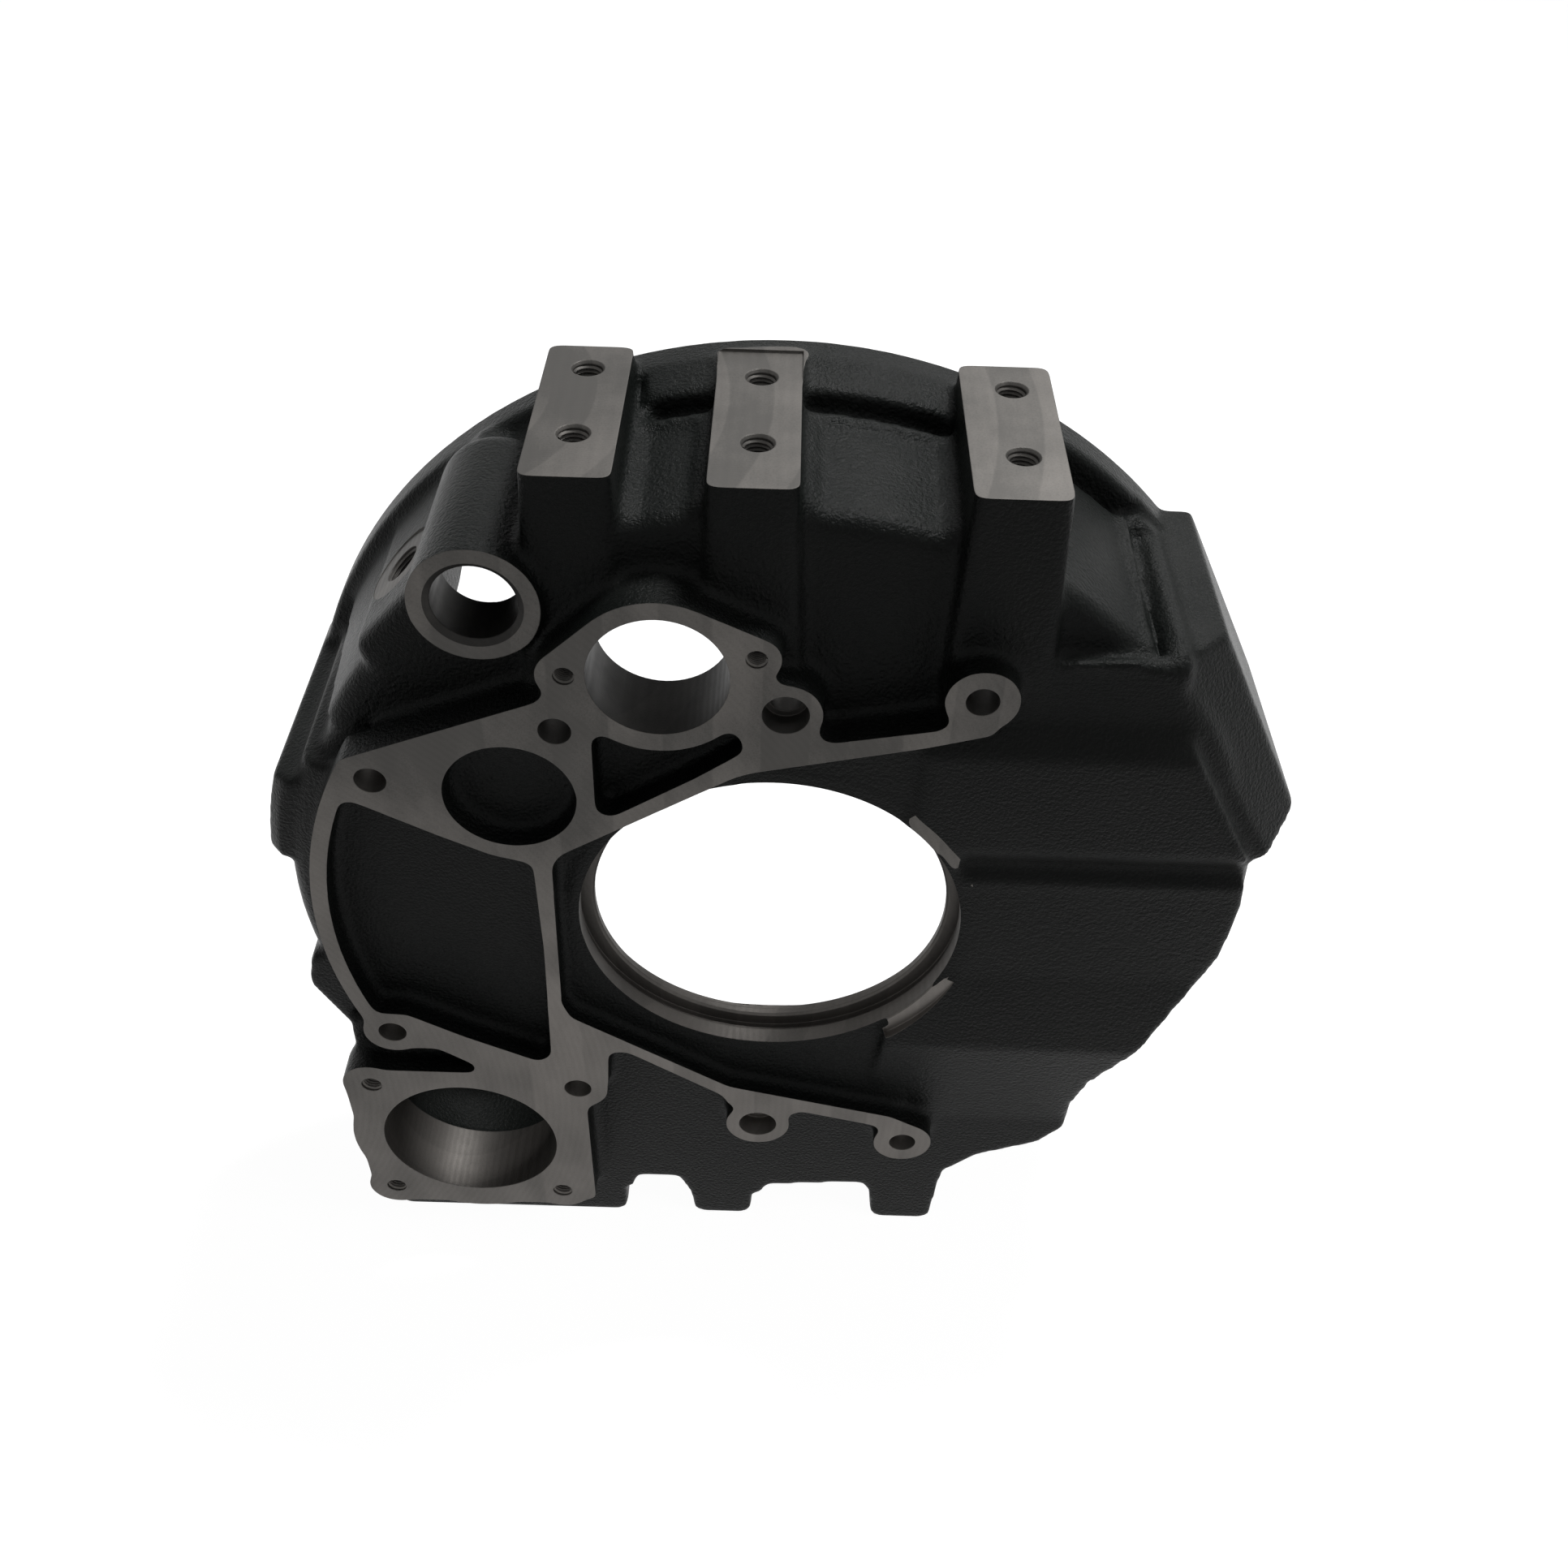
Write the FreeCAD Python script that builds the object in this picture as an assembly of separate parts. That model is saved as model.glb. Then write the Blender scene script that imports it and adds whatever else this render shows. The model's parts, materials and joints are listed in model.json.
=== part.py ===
import FreeCAD, Part
import math
import os

# Flywheel housing, one casting in grey iron, machined after casting.
# Millimetres. X runs to the right as seen from the engine, Y to the rear, Z up.
# The sizes below count Y from the engine face. The finished part is moved so that
# its origin is the centre of the rear flange face, on the crank axis.

V = FreeCAD.Vector

# Driving dimensions, rear side (SAE 3 bell)
FLANGE_Y = 130.0                     # rear face, measured from the engine face
FLANGE_R = 225.4                     # outside radius of the flange
PILOT_R = 204.8                      # spigot bore for the gearbox
PILOT_DEPTH = 6.0
FLANGE_PCD_R = 214.3                 # bolt circle radius
FLANGE_BOLTS = 12
FLANGE_THICK = 17.0
FLANGE_EDGE = 2.0
M10_TAP_R = 4.25
FLANGE_TAP_DEPTH = 15.0

# Walls
WALL_Y = 14.0                        # front of the lower wall
RECESS_Y = 9.5                       # front of the wall round the crank bore
INNER_Y = 24.0                       # inside of the front wall
BODY_R = (217.0, 218.5)              # outside of the lower bell, front and rear
BODY_EDGE = 10.0                     # rounding of its front edge
SHOULDER_Z = 150.0                   # shelf on the right, where the wall steps back
SHELF_X = (152.5, 168.0)             # band beside that shelf, between panel and ear
SHELF_R = (214.7, 225.0)
SHELF_Y = 11.0
SHELF_EDGE = 6.0
SHELF_GAP = 4.0
UPPER_Y = (15.5, 22.0)               # front of the leaning upper wall, low and high
UPPER_R = (210.5, 216.5)             # outside of the upper shell, at the wall and the rim
UPPER_EDGE = 9.0                     # rounding between its front wall and its outside
FRAME = 3.0                          # border of the sunk panels stands this much proud
FRAME_WIDTH = 6.0
RIDGE_Y = (81.0, 88.0)               # border in front of the rim's groove
UPPER_WALL = 10.0
BELL_R = (191.0, 198.0, 203.0)       # inside of the bell, from front to rear
BELL_Y = (INNER_Y, 45.0, 95.0)
BELL_CORNER = 6.0                    # chamfer in the bottom of the bell
RIM_Y = (97.0, 110.0)                # front of the thick rim, between the pads and beside them
RIM_FALL = 4.0                       # the rim falls this much towards its front edge
GROOVE_R = 211.0

# Engine face
FACE_OUTER_R = 204.0                 # left edge is an arc about the crank axis
FACE_POCKET_R = 196.5
POCKET_DEPTH = 12.5
M12_CLEAR_R = 6.75
DOWEL_R = 9.5
DOWEL_DEPTH = 11.0
BOSS_R = 15.0
BOLTS = [
    (-166.2, 89.7), (-88.0, 119.5), (-180.5, -75.6), (-93.6, -116.4),
    (-3.3, -141.8), (71.6, -154.3), (4.2, 131.5), (81.0, 141.2),
]
DOWELS = [BOLTS[4], BOLTS[6]]
BOLT_HEAD_R = 9.0                    # way in for the two outer bolts, along the bell's wall

# Bores in the engine face
CRANK_R = 86.6
CRANK_Y = (8.0, 22.0, 30.0)          # front, seal groove, rear lip
CRANK_LIP_R = 84.0
CRANK_GROOVE_R = 88.0
CRANK_RING_R = 90.0
STARTER = (-152.3, -163.1)
STARTER_R = 44.6
STARTER_DEPTH = 36.0
STARTER_RIM_R = 60.5
STARTER_TAP_SIDE = 89.5              # square of tapped holes round the starter
DRIVE = (-46.0, 148.05)              # through bore for the accessory drive
DRIVE_R = 28.25
DRIVE_RIM_R = 36.2
DRIVE_DEPTH = 34.0
DRIVE_TAPS = [(-82.5, 147.8), (-7.6, 158.8)]
M8_TAP_R = 3.4
BLIND = (-109.5, 82.4)               # shallow cast recess
BLIND_R = 28.1
BLIND_DEPTH = 11.0

# Barring tube and sensor port
TUBE = (-116.4, 172.8)
TUBE_Y = 10.0
TUBE_R = 26.0
TUBE_BORE_R = 17.0
TUBE_CHAMFER = 2.0
TUBE_REAR_Y = 98.0
PORT_ANGLE = 135.0
PORT_R = 220.6                       # milled flat of the port, from the crank axis
PORT_Y = 61.0
PORT_BOSS_R = 19.0
PORT_TAP_R = 8.25

# Top pads
PAD_Z = 224.5
PAD_SPANS = [(-97.0, -62.5), (-27.5, 6.8), (70.0, 107.0)]
PAD_Y = [(20.5, 121.0), (16.5, 120.0), (14.5, 114.5)]
PAD_FOOT_Y = 13.0
PAD_FOOT_Z = 150.0
PAD_CORNER = 3.0
PAD_HOLE_X = [-79.5, -9.5, 90.5]
PAD_HOLE_MID_Y = [77.0, 74.0, 70.0]
PAD_HOLE_PITCH = 51.0
M12_TAP_R = 5.1
M12_CHAMFER_R = 6.6
PAD_TAP_DEPTH = 16.0
PAD_DRAFT = 4.0

# Ears and feet
EAR_FRONT = [(168.4, 26.6, 148.5), (177.4, 34.7, 148.5), (230.0, 33.0, 60.0)]  # a slanting flat
LEFT_EAR_R = 227.0
REST_Z = -247.0
FOOT_SPANS = [(-38.0, -6.5), (61.0, 94.0)]
TOWER_X = (-203.0, -75.0)
TOWER_REAR_Y = 95.0


def wire(points, y=0.0):
    """Closed outline in the plane y, corners (x, z) or rounded corners (x, z, radius)."""
    n = len(points)
    ends = []
    for i in range(n):
        p = V(points[i][0], y, points[i][1])
        r = points[i][2] if len(points[i]) > 2 else 0.0
        a = V(points[i - 1][0], y, points[i - 1][1]) - p
        b = V(points[(i + 1) % n][0], y, points[(i + 1) % n][1]) - p
        a.normalize()
        b.normalize()
        half = a.getAngle(b) / 2.0
        if r <= 0.0 or half > math.radians(89.0):
            ends.append((p, None, p))
            continue
        t = r / math.tan(half)
        mid = a + b
        mid.normalize()
        tip = p + mid * (r / math.sin(half) - r)
        ends.append((p + a * t, tip, p + b * t))
    edges = []
    for i in range(n):
        start, tip, stop = ends[i]
        if tip is not None:
            edges.append(Part.Arc(start, tip, stop).toShape())
        nxt = ends[(i + 1) % n][0]
        if stop.distanceToPoint(nxt) > 1e-6:
            edges.append(Part.LineSegment(stop, nxt).toShape())
    return Part.Wire(edges)


def prism(points, y0, y1):
    """Outline in XZ carried from y0 to y1."""
    return Part.Face(wire(points, y0)).extrude(V(0, y1 - y0, 0))


def bar_x(points, x0, x1):
    """Outline in (y, z) carried from x0 to x1."""
    corners = [V(x0, p[0], p[1]) for p in points]
    face = Part.Face(Part.makePolygon(corners + corners[:1]))
    return face.extrude(V(x1 - x0, 0, 0))


def disc(centre, r, y0, y1):
    """Round bar along Y about the point (x, z)."""
    return Part.makeCylinder(r, y1 - y0, V(centre[0], y0, centre[1]), V(0, 1, 0))


def cone(centre, r0, r1, y0, y1):
    """Tapered bar along Y about the point (x, z)."""
    return Part.makeCone(r0, r1, y1 - y0, V(centre[0], y0, centre[1]), V(0, 1, 0))


def turned(points):
    """Outline of (radius, y) corners, rounded where a third number says so, turned about Y."""
    outline = wire(points)
    outline.rotate(V(0, 0, 0), V(1, 0, 0), -90.0)
    return Part.Face(outline).revolve(V(0, 0, 0), V(0, 1, 0), 360.0)


def joined(shapes):
    """One solid from touching pieces."""
    return shapes[0].fuse(shapes[1:]).removeSplitter()


def link(a, ra, b, rb):
    """Flat hull of two discs, as corners of the tangent quadrilateral."""
    dx = b[0] - a[0]
    dz = b[1] - a[1]
    d = math.hypot(dx, dz)
    lean = math.acos((ra - rb) / d)
    base = math.atan2(dz, dx)
    corners = []
    for c, r, s in ((a, ra, 1), (b, rb, 1), (b, rb, -1), (a, ra, -1)):
        t = base + s * lean
        corners.append((c[0] + r * math.cos(t), c[1] + r * math.sin(t)))
    return corners


def softened(flat, hollow, corner):
    """Rounds the inner corners of a flat face by `hollow` and its outer ones by `corner`."""
    flat = flat.makeOffset2D(hollow, 0, False, False, True)
    flat = flat.makeOffset2D(-hollow - corner, 0, False, False, True)
    return flat.makeOffset2D(corner, 0, False, False, True)


def front_of(solid, y):
    """The flat face of a solid that lies in the plane y."""
    flats = [f for f in solid.Faces if abs(f.BoundBox.YMin - y) < 1e-4 and f.BoundBox.YLength < 1e-3]
    return max(flats, key=lambda f: f.Area)


def starter_taps():
    """Three tapped holes at the corners of a square; the fourth corner is an engine bolt."""
    s = STARTER_TAP_SIDE / 2.0
    x, z = STARTER
    return [(x - s, z + s), (x - s, z - s), (x + s, z - s)]


def engine_face():
    """The milled strip that meets the engine, as one flat face with softened corners."""
    h1, h2, h3, h4, h5, h6, h7, h8 = BOLTS
    s1, s2, s3 = starter_taps()
    left = [
        (-230, 79.4), (-93.9, 134.4), (-82, 150), (-46, 160), (-8, 160), (4, 140),
        (21, 117.2), (66, 126), (84, 141), (88, 124.5), (60, 116.2), (-8.4, 100.3),
        (-16, 97.3), (-91, 49), (-94.8, 42), (-97, -50), (-93.5, -60.5), (-18, -111.2),
        (64, -132.5), (80, -142), (72, -154), (56, -140.2), (18.6, -130.2), (-3.3, -140),
        (-18.6, -124.4), (-21.3, -118.5), (-67.2, -86.2), (-76.8, -86), (-78.2, -112.3),
        (-90, -134), (-143, -134), (-143, -100), (-160, -87.5), (-230, -87.5),
    ]
    plate = prism(left, 0, 1).common(disc((0, 0), FACE_OUTER_R, 0, 1))
    starter = [
        (-205, -106), (-100, -106), (-90, -134), (-90, -214), (-106, -220), (-196, -221),
        (-209, -207), (-211, -118),
    ]
    corner = prism([(-230, -106), (-90, -106), (-90, -230), (-230, -230)], 0, 1)
    pieces = [
        plate,
        prism(starter, 0, 1),
        disc(STARTER, STARTER_RIM_R, 0, 1).common(corner),
        disc(DRIVE, DRIVE_RIM_R, 0, 1),
        prism(link(DRIVE_TAPS[0], 11.5, DRIVE, DRIVE_RIM_R), 0, 1),
        prism(link(DRIVE, DRIVE_RIM_R, DRIVE_TAPS[1], 10.0), 0, 1),
        disc(DRIVE_TAPS[0], 11.5, 0, 1),
        disc(DRIVE_TAPS[1], 10.0, 0, 1),
    ]
    pieces += [disc(c, BOSS_R, 0, 1) for c in (h4, h6, h7, h8)]
    pieces += [disc(h3, 14.2, 0, 1), disc(h5, 16.2, 0, 1)]
    pieces += [disc(c, 14.5, 0, 1) for c in (s1, s2, s3)]
    return softened(front_of(joined(pieces), 0.0), 4.0, 3.0)


def raised(flat, y1):
    """A flat face of the plane y = 0 carried back to y1."""
    return flat.extrude(V(0, y1, 0))


def shell(proud):
    """Upper shell: a wall that leans back, a rounded edge and an outside that flares a little."""
    u0, u1 = UPPER_Y
    r0, r1 = UPPER_R
    rear = RIM_Y[1]
    return turned([
        (0, u0), (110, u0), (r0 + proud, u1, UPPER_EDGE), (r1 + proud, rear), (r1 + proud, rear + 5.0),
        (0, rear + 5.0),
    ])


def bell_solid():
    """Outside of the bell: drum below, shell with sunk panels above, flange behind."""
    front = FLANGE_Y - FLANGE_THICK
    b0, b1 = BODY_R
    drum = turned([(0, WALL_Y), (b0, WALL_Y, BODY_EDGE), (b1, front + 4), (0, front + 4)])
    below = [
        (-260, -260), (260, -260), (260, SHOULDER_Z), (108, SHOULDER_Z), (72, 118), (-90, 118),
        (-175, 84), (-260, 84),
    ]
    lower = drum.common(prism(below, 0, FLANGE_Y))
    above = prism([(-260, 80), (260, 80), (260, 260), (-260, 260)], 0, FLANGE_Y)
    upper = shell(0.0).common(above)
    c = FLANGE_EDGE
    flange = turned([
        (0, front), (FLANGE_R - c, front), (FLANGE_R, front + c), (FLANGE_R, FLANGE_Y), (0, FLANGE_Y),
    ])
    return joined([lower, upper, flange] + panel_frames())


def panel_frames():
    """Proud borders of the sunk panels: beside the columns, by the shelf and before the rim."""
    proud = shell(FRAME)
    w = FRAME_WIDTH
    left, centre, right = PAD_SPANS
    strips = [(-260, left[0]), (left[1], left[1] + w), (centre[0] - w, centre[0])]
    strips += [(centre[1], centre[1] + w), (right[0] - w, right[0])]
    out = []
    for x0, x1 in strips:
        out.append(proud.common(Part.makeBox(x1 - x0, 200, 180, V(x0, 0, 100))))
    y0, y1 = RIDGE_Y
    r = UPPER_R[1] - 2.0
    ridge = turned([(190, y0), (r, y0), (r + FRAME, y0 + FRAME), (r + FRAME, y1), (190, y1)])
    out.append(ridge.common(Part.makeBox(right[0] - left[1], 200, 180, V(left[1], 0, 100))))
    return out


def upper_rim():
    """Thick rim between and beside the pads."""
    y0, y1 = RIM_Y
    mid = prism([(0, 0), (-70, 260), (100, 260)], 0, FLANGE_Y)
    side = prism([(0, 0), (90, 260), (238, 260)], 0, FLANGE_Y)
    r = FLANGE_R - RIM_FALL
    band = turned([
        (190, y0), (r - 1.5, y0), (r, y0 + 1.5), (FLANGE_R, y0 + 20.0), (FLANGE_R, FLANGE_Y),
        (190, FLANGE_Y),
    ])
    c = FLANGE_EDGE
    beside = turned([
        (190, y1), (FLANGE_R - c, y1), (FLANGE_R, y1 + c), (FLANGE_R, FLANGE_Y), (190, FLANGE_Y),
    ])
    return [band.common(mid), beside.common(side)]


def rim_grooves():
    """Dark grooves in front of the rim."""
    y0, y1 = RIM_Y
    mid = prism([(0, 0), (-68, 260), (100, 260)], 0, FLANGE_Y)
    side = prism([(0, 0), (110, 260), (236, 260)], 0, FLANGE_Y)
    r = GROOVE_R
    a = turned([(r, RIDGE_Y[1]), (r, y0), (240, y0), (240, RIDGE_Y[1])])
    b = turned([(r, y1 - 4.0), (r, y1), (240, y1), (240, y1 - 4.0)])
    return [a.common(mid), b.common(side)]


def shelf():
    """Band between the right panel and the ear, which flares back to the rim, with a round nose."""
    x0, x1 = SHELF_X
    r0, r1 = SHELF_R
    y0 = SHELF_Y
    band = turned([
        (190, y0), (r0, y0, SHELF_EDGE), (r1, RIM_Y[1]), (FLANGE_R, FLANGE_Y), (190, FLANGE_Y),
    ])
    z = SHOULDER_Z
    plan = [(x0, z - 16, 5), (x0, z + 30), (x1, z + 20), (x1, z - 16, 7), (x1 - 4, z - 18, 4)]
    return [band.common(prism(plan, 0, FLANGE_Y))]


def shelf_groove():
    """Narrow groove between the right panel and that band."""
    x = SHELF_X[0]
    r = GROOVE_R - 3.0
    ring = turned([(r, 25.0), (r, RIM_Y[1] - 3.0), (240, RIM_Y[1] - 3.0), (240, 25.0)])
    return ring.common(Part.makeBox(SHELF_GAP, 200, 60, V(x - SHELF_GAP, 0, SHOULDER_Z - 8.0)))


def pads():
    """Three columns with leaning fronts and rounded corners that end in the milled pads."""
    out = []
    d = PAD_DRAFT
    for (x0, x1), (y0, y1) in zip(PAD_SPANS, PAD_Y):
        side = [
            (y0, PAD_Z), (y1, PAD_Z), (y1 + d, 190), (y1, 120), (PAD_FOOT_Y + 1, 120),
            (PAD_FOOT_Y, PAD_FOOT_Z),
        ]
        front = [(x0, PAD_Z), (x1, PAD_Z), (x1 + d, 120), (x0 - d, 120)]
        column = bar_x(side, x0 - 10, x1 + 10).common(prism(front, 0, FLANGE_Y))
        upright = [e for e in column.Edges if e.BoundBox.ZLength > 20 and e.BoundBox.XLength > 0.2]
        upright = [e for e in upright if e.BoundBox.YMax < y0 + 1.0 or e.BoundBox.YMin > y1 - 1.0]
        out.append(column.makeFillet(PAD_CORNER, upright))
    return out


def pad_milling():
    """The cutter path over the middle pad, sunk into the rim behind it."""
    x0, x1 = PAD_SPANS[1]
    y0, y1 = PAD_Y[1]
    path = Part.makeBox(x1 - x0, y1 - y0 + 20, 20, V(x0, y0 - 20, PAD_Z))
    rear = [e for e in path.Edges if e.BoundBox.ZLength > 19 and e.BoundBox.YMin > y1 - 1]
    return path.makeFillet(PAD_CORNER, rear)


def right_body():
    """Stepped front of the right half, its creases running across in X."""
    steps = [
        (30, 133), (14, 133), (14, 121.6), (6, 106.4), (6, 52), (13, 40), (7.5, 32),
        (8.5, 27.5), (8, -31), (3, -79), (14, -150), (30, -150),
    ]
    outline = [
        (61, 118), (78, 134), (160, 134, 10), (207, 50, 20), (211, 20, 30), (207, -28, 20),
        (182, -78, 20), (158, -135, 8), (158, -160), (70, -160), (53, -110), (58, -60), (61, -20),
    ]
    return bar_x(steps, 40, 225).common(prism(outline, 0, 60))


def recess_wall():
    """Wall round the crank bore, a little in front of the lower wall."""
    outline = [
        (-100, 46), (-12, 104), (70, 126), (70, -140), (-18, -118), (-100, -56),
    ]
    ring = disc((0, 0), CRANK_RING_R + 1.0, CRANK_Y[0], INNER_Y)
    upper = disc((0, 0), CRANK_RING_R + 3.5, CRANK_Y[0] - 0.5, INNER_Y)
    lower = disc((0, 0), CRANK_RING_R + 2.0, CRANK_Y[0] - 0.5, INNER_Y)
    lugs = [
        upper.common(prism([(0, 0), (120, 60), (90, 105)], 0, INNER_Y)),
        lower.common(prism([(0, 0), (90, -95), (110, -48)], 0, INNER_Y)),
    ]
    return prism(outline, RECESS_Y, INNER_Y).fuse([ring] + lugs)


def ear_front():
    """All that lies in front of the slanting front of the right ear."""
    a, b, c = [V(*p) for p in EAR_FRONT]
    n = (b - a).cross(c - a)
    corners = []
    for x, z in ((130, 0), (260, 0), (260, 180), (130, 180)):
        y = a.y - (n.x * (x - a.x) + n.z * (z - a.z)) / n.y
        corners.append(V(x, y, z))
    return Part.Face(Part.makePolygon(corners + corners[:1])).extrude(V(0, -250, 0))


def feet():
    """Starter tower, feet and the ears of the flange."""
    x0, x1 = TOWER_X
    tower = [
        (-206, -86, 8), (-120, -60), (x1, -60), (x1, REST_Z, 6), (x0, REST_Z, 8), (-208, -215, 8),
        (-208, -150, 10),
    ]
    out = [prism(tower, WALL_Y, TOWER_REAR_Y)]
    for a, b in FOOT_SPANS:
        foot = [(a - 5, -190), (a, REST_Z, 6), (b, REST_Z, 6), (b + 5, -170)]
        out.append(prism(foot, WALL_Y, FLANGE_Y))
    base = [
        (-80, -190), (-72, -226), (-68, -213, 5), (-47, -213, 5), (-40, -228), (-2, -228), (3, -219, 4),
        (54, -214, 5), (60, -225), (95, -225), (98, -200, 4), (110, -160),
    ]
    out.append(prism(base, WALL_Y, FLANGE_Y - FLANGE_THICK))
    corner = [
        (60, -150), (157, -140), (158, -157, 6), (145, -172, 8), (115, -185, 8), (97, -202), (60, -202),
    ]
    out.append(prism(corner, WALL_Y, 70))
    right = [(140, 120), (150, 148.5, 4), (183, 148.5, 1.5), (230, 60, 1.5), (217, 47, 4), (190, 30)]
    out.append(prism(right, WALL_Y, FLANGE_Y).cut(ear_front()))
    left = [(-200, 20), (-230, 28), (-230, 72), (-200, 72)]
    r = LEFT_EAR_R
    ear = turned([(180, 17), (r - 6, 17), (r, 23), (r, FLANGE_Y), (180, FLANGE_Y)])
    out.append(ear.common(prism(left, 0, FLANGE_Y)))
    out.append(prism([(-190, -30), (-217, -39, 5), (-221, -58, 5), (-205, -90)], WALL_Y, 40))
    return out


def tube():
    """Barring tube with the bulge beside it and the sensor port boss."""
    x, z = TUBE
    front = FLANGE_Y - FLANGE_THICK
    pipe = disc(TUBE, TUBE_R, TUBE_Y, TUBE_REAR_Y)
    pipe = pipe.makeFillet(9.0, [e for e in pipe.Edges if e.BoundBox.YMin > TUBE_REAR_Y - 0.01])
    bulge = [
        (x + 20, z - 20), (x - 5, z - 55), (x - 34, z - 61, 12), (x - 50, z - 44, 14),
        (x - 54.5, z - 33, 5), (x - 26, z - 2, 5), (x - 10, z + 18, 8), (x + 20, z + 10),
    ]
    side = prism(bulge, 20, front + 2.0)
    front = [e for e in side.Edges if e.BoundBox.YMax < 20.01 and e.BoundBox.XMax < x - 24]
    side = side.makeFillet(8.0, front)
    t = math.radians(PORT_ANGLE)
    out = V(math.cos(t), 0, math.sin(t))
    foot = out * (PORT_R - 60) + V(0, PORT_Y, 0)
    boss = Part.makeCylinder(PORT_BOSS_R, 60, foot, out)
    return [pipe, side, boss]


def bell_hollow():
    """Inside of the bell, open to the rear, with the pilot bore."""
    r0, r1, r2 = BELL_R
    y0, y1, y2 = BELL_Y
    c = BELL_CORNER
    rear = FLANGE_Y - PILOT_DEPTH + 1.0
    inside = turned([(0, y0), (r0 - c, y0), (r0, y0 + c), (r1, y1), (r2, y2), (r2, rear), (0, rear)])
    u0, u1 = UPPER_Y
    wall = UPPER_WALL
    arch = turned([
        (0, y0), (110, u0 + wall), (r1 - c, u1 + wall), (r1 - 2.0, u1 + wall + c), (r2, y2), (0, y2),
    ])
    top = prism([(-260, 100), (260, 100), (260, 260), (-260, 260)], 0, FLANGE_Y)
    slack = inside.common(top).cut(arch)
    slack = slack.cut(disc((0, 0), 260, y2, FLANGE_Y))
    pilot = disc((0, 0), PILOT_R, FLANGE_Y - PILOT_DEPTH, FLANGE_Y + 1)
    kept = [
        slack,
        disc((0, 0), CRANK_R + 9.0, INNER_Y - 1.0, CRANK_Y[2]),
        disc(DRIVE, DRIVE_R + 8.0, INNER_Y - 1.0, DRIVE_DEPTH),
    ]
    return inside.cut(kept).fuse(pilot)


def machining():
    """Everything the drills, boring bars and mills take away."""
    out = [pad_milling()]
    front, groove, lip = CRANK_Y
    out.append(disc((0, 0), CRANK_R, -1, groove))
    out.append(disc((0, 0), CRANK_LIP_R, groove - 1, lip + 1))
    out.append(disc((0, 0), CRANK_GROOVE_R, groove - 1.5, groove))
    out.append(cone((0, 0), CRANK_RING_R, CRANK_R, front - 1.0, front + 1.5))
    out.append(disc(STARTER, STARTER_R, -1, STARTER_DEPTH))
    out.append(disc(STARTER, STARTER_R + 4.0, STARTER_DEPTH, 84.0))
    out.append(disc(DRIVE, DRIVE_R, -1, DRIVE_DEPTH + 14.0))
    out.append(cone(BLIND, BLIND_R, BLIND_R - 1.5, 0, BLIND_DEPTH))
    out += [disc(c, M12_CLEAR_R, -1, 45) for c in BOLTS]
    out += [disc(c, DOWEL_R, -1, DOWEL_DEPTH) for c in DOWELS]
    out += [disc(c, BOLT_HEAD_R, INNER_Y, FLANGE_Y - PILOT_DEPTH) for c in (BOLTS[0], BOLTS[2])]
    out += [disc(c, M8_TAP_R, -1, 20) for c in DRIVE_TAPS]
    out += [disc(c, M10_TAP_R, -1, 22) for c in starter_taps()]
    out.append(disc(TUBE, TUBE_BORE_R, 0, 60))
    c = TUBE_CHAMFER
    out.append(cone(TUBE, TUBE_BORE_R + c + 1.0, TUBE_BORE_R, TUBE_Y - 1.0, TUBE_Y + c))
    t = math.radians(PORT_ANGLE)
    tip = V((PORT_R + 3) * math.cos(t), PORT_Y, (PORT_R + 3) * math.sin(t))
    flat = V(PORT_R * math.cos(t), PORT_Y, PORT_R * math.sin(t))
    out.append(Part.makeCylinder(PORT_BOSS_R - 0.2, 20, flat, V(math.cos(t), 0, math.sin(t))))
    out.append(Part.makeCylinder(PORT_TAP_R, 60, tip, V(-math.cos(t), 0, -math.sin(t))))
    for x, mid in zip(PAD_HOLE_X, PAD_HOLE_MID_Y):
        for y in (mid - PAD_HOLE_PITCH / 2.0, mid + PAD_HOLE_PITCH / 2.0):
            out.append(Part.makeCylinder(M12_TAP_R, PAD_TAP_DEPTH + 1, V(x, y, PAD_Z + 1), V(0, 0, -1)))
            out.append(Part.makeCone(M12_CHAMFER_R, M12_TAP_R, 1.5, V(x, y, PAD_Z), V(0, 0, -1)))
    for k in range(FLANGE_BOLTS):
        t = math.radians(15.0 + 360.0 * k / FLANGE_BOLTS)
        centre = (FLANGE_PCD_R * math.cos(t), FLANGE_PCD_R * math.sin(t))
        out.append(disc(centre, M10_TAP_R, FLANGE_Y - FLANGE_TAP_DEPTH, FLANGE_Y + 1))
    return out


def pockets():
    """Cast pockets of the engine face."""
    left = [
        (-230, 92), (-174, 76.5), (-143, 59.5), (-120, 48), (-103, 43.5), (-102.5, -12), (-105, -90),
        (-111, -95.5), (-147, -77), (-172, -62), (-230, -60),
    ]
    one = prism(left, 0, 1).common(disc((0, 0), FACE_POCKET_R, 0, 1))
    right = [(-73.5, 118), (-16, 124.5), (-11.5, 112), (-32, 96.5), (-68, 72.5), (-74, 76)]
    two = prism(right, 0, 1).cut(disc(DRIVE, DRIVE_R + 9.0, -1, 2))
    out = []
    for solid in (one, two):
        flat = softened(front_of(solid, 0.0), 2.0, 4.0)
        out.append(raised(flat, POCKET_DEPTH))
    return out


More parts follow.
